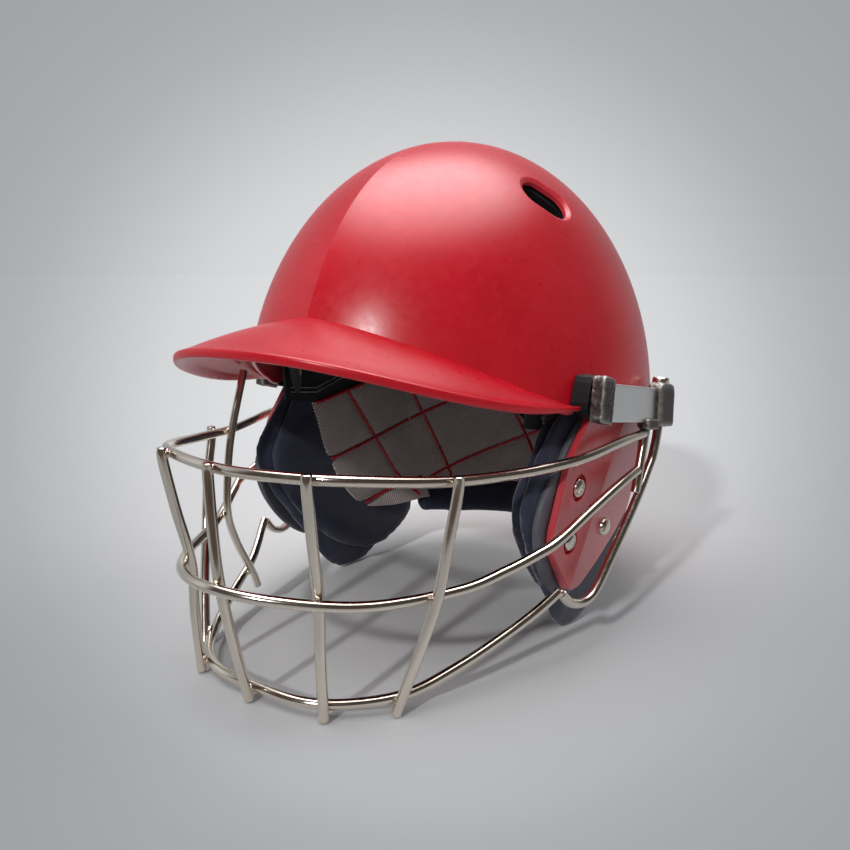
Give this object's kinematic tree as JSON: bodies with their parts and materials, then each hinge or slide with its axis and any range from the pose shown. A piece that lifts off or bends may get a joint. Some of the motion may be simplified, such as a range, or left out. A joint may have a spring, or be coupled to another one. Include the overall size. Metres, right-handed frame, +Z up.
{
  "type": "batting helmet",
  "caption": "Hard domed batting helmet with a peak, padded ear guards, quilted lining and a wire face guard hung from metal side brackets.",
  "frame": {"origin": "centre of the helmet's bounding box, on the surface that it rests on", "axes": "+X to the wearer's left, -Y to the front, +Z up"},
  "size_m": [0.2292, 0.3167, 0.2576],
  "materials": {
    "shell_red": "satin",
    "liner_foam": "matte",
    "brow_cloth": "matte",
    "lining_mesh": "matte",
    "pad_navy": "matte",
    "backing_plastic": "matte",
    "bright_steel": "polished",
    "black_rubber": "matte",
    "cast_bracket": "satin",
    "stainless_strap": "satin",
    "guard_wire": "satin"
  },
  "bodies": {
    "helmet": {"shell": "shell_red", "peak": "shell_red", "impact_liner": "liner_foam", "crown_pad": "liner_foam", "brow_band": "brow_cloth", "rear_panel": "lining_mesh", "neck_roll": "pad_navy", "side_panel_left": "lining_mesh", "side_panel_right": "lining_mesh", "ear_plate_left": "shell_red", "ear_plate_right": "shell_red", "ear_backing_left": "backing_plastic", "ear_backing_right": "backing_plastic", "ear_pad_left": "pad_navy", "ear_pad_right": "pad_navy", "cheek_cushion_left": "pad_navy", "cheek_cushion_right": "pad_navy", "plate_screws_left": "bright_steel", "plate_screws_right": "bright_steel", "plate_nuts_left": "bright_steel", "plate_nuts_right": "bright_steel", "bracket_gasket_left": "black_rubber", "bracket_gasket_right": "black_rubber", "hinge_block_left": "cast_bracket", "hinge_block_right": "cast_bracket", "tilt_pin_left": "bright_steel", "tilt_pin_right": "bright_steel"},
    "guard": {"strap_left": "stainless_strap", "strap_right": "stainless_strap", "clamp_block_left": "cast_bracket", "clamp_block_right": "cast_bracket", "side_loop_left": "guard_wire", "side_loop_right": "guard_wire", "stub_rod_left": "guard_wire", "stub_rod_right": "guard_wire", "guard_top_bar": "guard_wire", "guard_middle_bar": "guard_wire", "guard_bottom_bar": "guard_wire", "guard_stay": "guard_wire", "guard_upright_1": "guard_wire", "guard_upright_2": "guard_wire", "guard_upright_3": "guard_wire", "guard_upright_4": "guard_wire", "guard_upright_5": "guard_wire"},
    "clamp_screw_left": {"clamp_screw_left": "bright_steel"},
    "clamp_screw_right": {"clamp_screw_right": "bright_steel"}
  },
  "joints": [
    {"name": "guard_tilt", "type": "hinge", "parent": "helmet", "child": "guard", "pos_m": [0, -0.0117, 0.13], "axis": [1, 0, 0], "range_deg": [0, 5]},
    {"name": "clamp_screw_turn_left", "type": "hinge", "parent": "guard", "child": "clamp_screw_left", "pos_m": [0.11, 0.05859, 0.12946], "axis": [0, 0.1495, 0.9888], "range_deg": [0, 360]},
    {"name": "clamp_screw_turn_right", "type": "hinge", "parent": "guard", "child": "clamp_screw_right", "pos_m": [-0.11, 0.05859, 0.12946], "axis": [0, 0.1495, 0.9888], "range_deg": [0, 360]}
  ]
}
